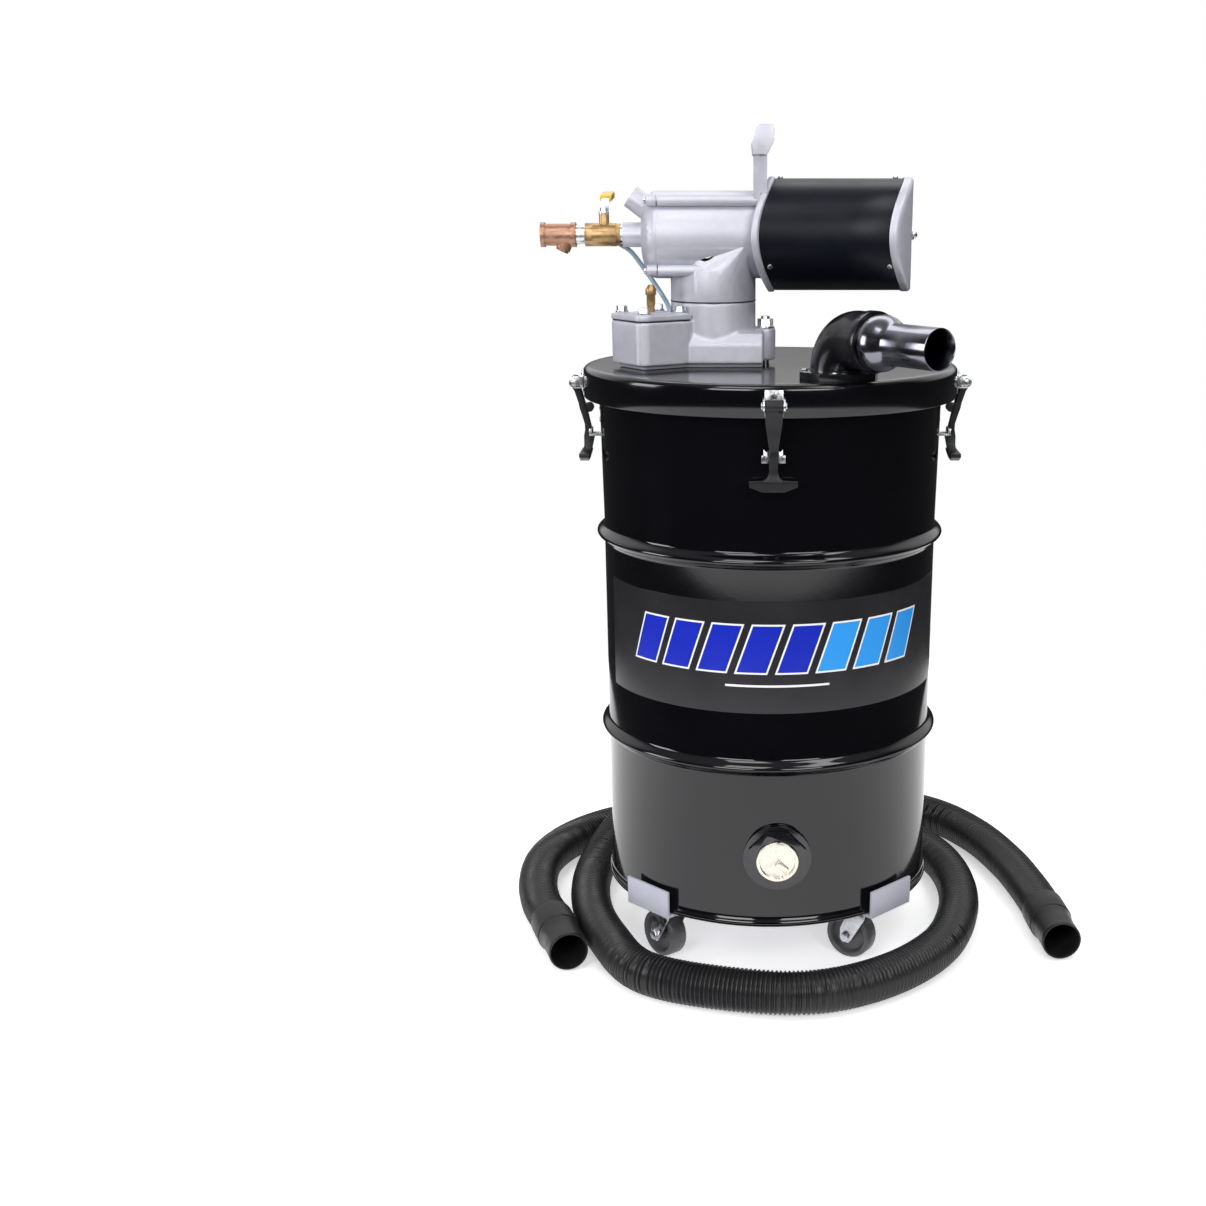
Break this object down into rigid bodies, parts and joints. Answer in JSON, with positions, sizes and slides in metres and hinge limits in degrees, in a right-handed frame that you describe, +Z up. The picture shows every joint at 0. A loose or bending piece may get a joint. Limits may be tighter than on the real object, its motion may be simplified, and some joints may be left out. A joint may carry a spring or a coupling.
{
  "type": "air driven drum vacuum",
  "caption": "Wheeled steel drum with a latched lid, a compressed-air venturi suction head with muffler, a side suction inlet and a loose corrugated hose.",
  "frame": {"origin": "where the drum axis meets the floor that the wheels stand on", "axes": "+Z up along the drum axis, -X towards the compressed-air inlet, +X towards the muffler end, -Y towards the front with the drain port"},
  "size_m": [0.8428, 0.7939, 1.144],
  "materials": {
    "drum_black": "gloss",
    "lid_black": "gloss",
    "label_satin": "satin",
    "cast_silver": "satin",
    "zinc": "satin",
    "dolly_grey": "satin",
    "rubber_black": "matte",
    "wheel_grey": "satin",
    "hose_black": "satin",
    "cuff_black": "satin",
    "muffler_black": "satin",
    "elbow_black": "satin",
    "dark_chrome": "gloss",
    "nickel": "satin",
    "brass": "satin",
    "bronze": "satin",
    "yellow_vinyl": "gloss",
    "tube_blue": "gloss",
    "foam": "matte",
    "filter_paper": "matte",
    "float_plastic": "gloss",
    "drain_black": "satin"
  },
  "bodies": {
    "vessel": {"dolly_frame": "dolly_grey", "caster_plates": "zinc", "drum_shell": "drum_black", "drum_label": "label_satin", "drain_flange": "drain_black", "drain_cap": "nickel", "latch_keepers": "zinc", "keeper_rivets": "zinc", "suction_hose": "hose_black", "hose_cuff_left": "cuff_black", "hose_cuff_right": "cuff_black"},
    "lid": {"lid_cover": "lid_black", "lid_gasket": "rubber_black", "latch_brackets": "zinc", "latch_pins": "zinc", "base_casting": "cast_silver", "base_nut": "zinc", "chamber_gasket": "rubber_black", "chamber_cover": "cast_silver", "chamber_bolts": "zinc", "neck_gasket": "rubber_black", "venturi_housing": "cast_silver", "end_cap": "cast_silver", "cap_plug": "zinc", "tie_screws": "zinc", "nozzle": "brass", "carry_handle": "cast_silver", "muffler_flange": "cast_silver", "muffler_cover": "muffler_black", "muffler_end": "cast_silver", "muffler_lining": "foam", "muffler_screws": "zinc", "muffler_tie": "zinc", "pipe_nipples": "zinc", "valve_body": "brass", "strainer_body": "bronze", "strainer_plug": "bronze", "pilot_fittings": "brass", "pilot_tube": "tube_blue", "suction_elbow": "elbow_black", "elbow_screws": "zinc", "inlet_adapter": "dark_chrome", "filter_cartridge": "filter_paper", "float_cage": "zinc"},
    "caster_fl": {"caster_fork_fl": "zinc"},
    "wheel_fl": {"caster_wheel_fl": "wheel_grey"},
    "caster_fr": {"caster_fork_fr": "zinc"},
    "wheel_fr": {"caster_wheel_fr": "wheel_grey"},
    "caster_bl": {"caster_fork_bl": "zinc"},
    "wheel_bl": {"caster_wheel_bl": "wheel_grey"},
    "caster_br": {"caster_fork_br": "zinc"},
    "wheel_br": {"caster_wheel_br": "wheel_grey"},
    "strap_front": {"latch_strap_front": "rubber_black"},
    "strap_right": {"latch_strap_right": "rubber_black"},
    "strap_back": {"latch_strap_back": "rubber_black"},
    "strap_left": {"latch_strap_left": "rubber_black"},
    "valve_handle": {"valve_ball": "nickel", "valve_lever": "zinc", "lever_sleeve": "yellow_vinyl"},
    "float": {"float_ball": "float_plastic"}
  },
  "joints": [
    {"name": "lid_lift", "type": "slide", "parent": "vessel", "child": "lid", "axis": [0, 0, 1], "range_m": [0, 0.42]},
    {"name": "swivel_fl", "type": "hinge", "parent": "vessel", "child": "caster_fl", "pos_m": [-0.13789, -0.13789, 0.08], "axis": [0, 0, 1], "continuous": true},
    {"name": "roll_fl", "type": "hinge", "parent": "caster_fl", "child": "wheel_fl", "pos_m": [-0.15101, -0.12279, 0.035], "axis": [-0.7547, -0.6561, 0], "continuous": true},
    {"name": "swivel_fr", "type": "hinge", "parent": "vessel", "child": "caster_fr", "pos_m": [0.13789, -0.13789, 0.08], "axis": [0, 0, 1], "continuous": true},
    {"name": "roll_fr", "type": "hinge", "parent": "caster_fr", "child": "wheel_fr", "pos_m": [0.12111, -0.12699, 0.035], "axis": [-0.5446, -0.8387, 0], "continuous": true},
    {"name": "swivel_bl", "type": "hinge", "parent": "vessel", "child": "caster_bl", "pos_m": [-0.13789, 0.13789, 0.08], "axis": [0, 0, 1], "continuous": true},
    {"name": "roll_bl", "type": "hinge", "parent": "caster_bl", "child": "wheel_bl", "pos_m": [-0.15668, 0.13104, 0.035], "axis": [0.342, -0.9397, 0], "continuous": true},
    {"name": "swivel_br", "type": "hinge", "parent": "vessel", "child": "caster_br", "pos_m": [0.13789, 0.13789, 0.08], "axis": [0, 0, 1], "continuous": true},
    {"name": "roll_br", "type": "hinge", "parent": "caster_br", "child": "wheel_br", "pos_m": [0.14789, 0.15521, 0.035], "axis": [-0.866, 0.5, 0], "continuous": true},
    {"name": "strap_front", "type": "hinge", "parent": "lid", "child": "strap_front", "pos_m": [0, -0.269, 0.812], "axis": [-1, 0, 0], "range_deg": [0, 110]},
    {"name": "strap_right", "type": "hinge", "parent": "lid", "child": "strap_right", "pos_m": [0.269, 0, 0.812], "axis": [0, -1, 0], "range_deg": [0, 110]},
    {"name": "strap_back", "type": "hinge", "parent": "lid", "child": "strap_back", "pos_m": [0, 0.269, 0.812], "axis": [1, 0, 0], "range_deg": [0, 110]},
    {"name": "strap_left", "type": "hinge", "parent": "lid", "child": "strap_left", "pos_m": [-0.269, 0, 0.812], "axis": [0, 1, 0], "range_deg": [0, 110]},
    {"name": "valve_turn", "type": "hinge", "parent": "lid", "child": "valve_handle", "pos_m": [-0.224, 0, 1.006], "axis": [0, 0, 1], "range_deg": [0, 90]},
    {"name": "float_rise", "type": "slide", "parent": "lid", "child": "float", "axis": [0, 0, 1], "range_m": [0, 0.08]}
  ]
}
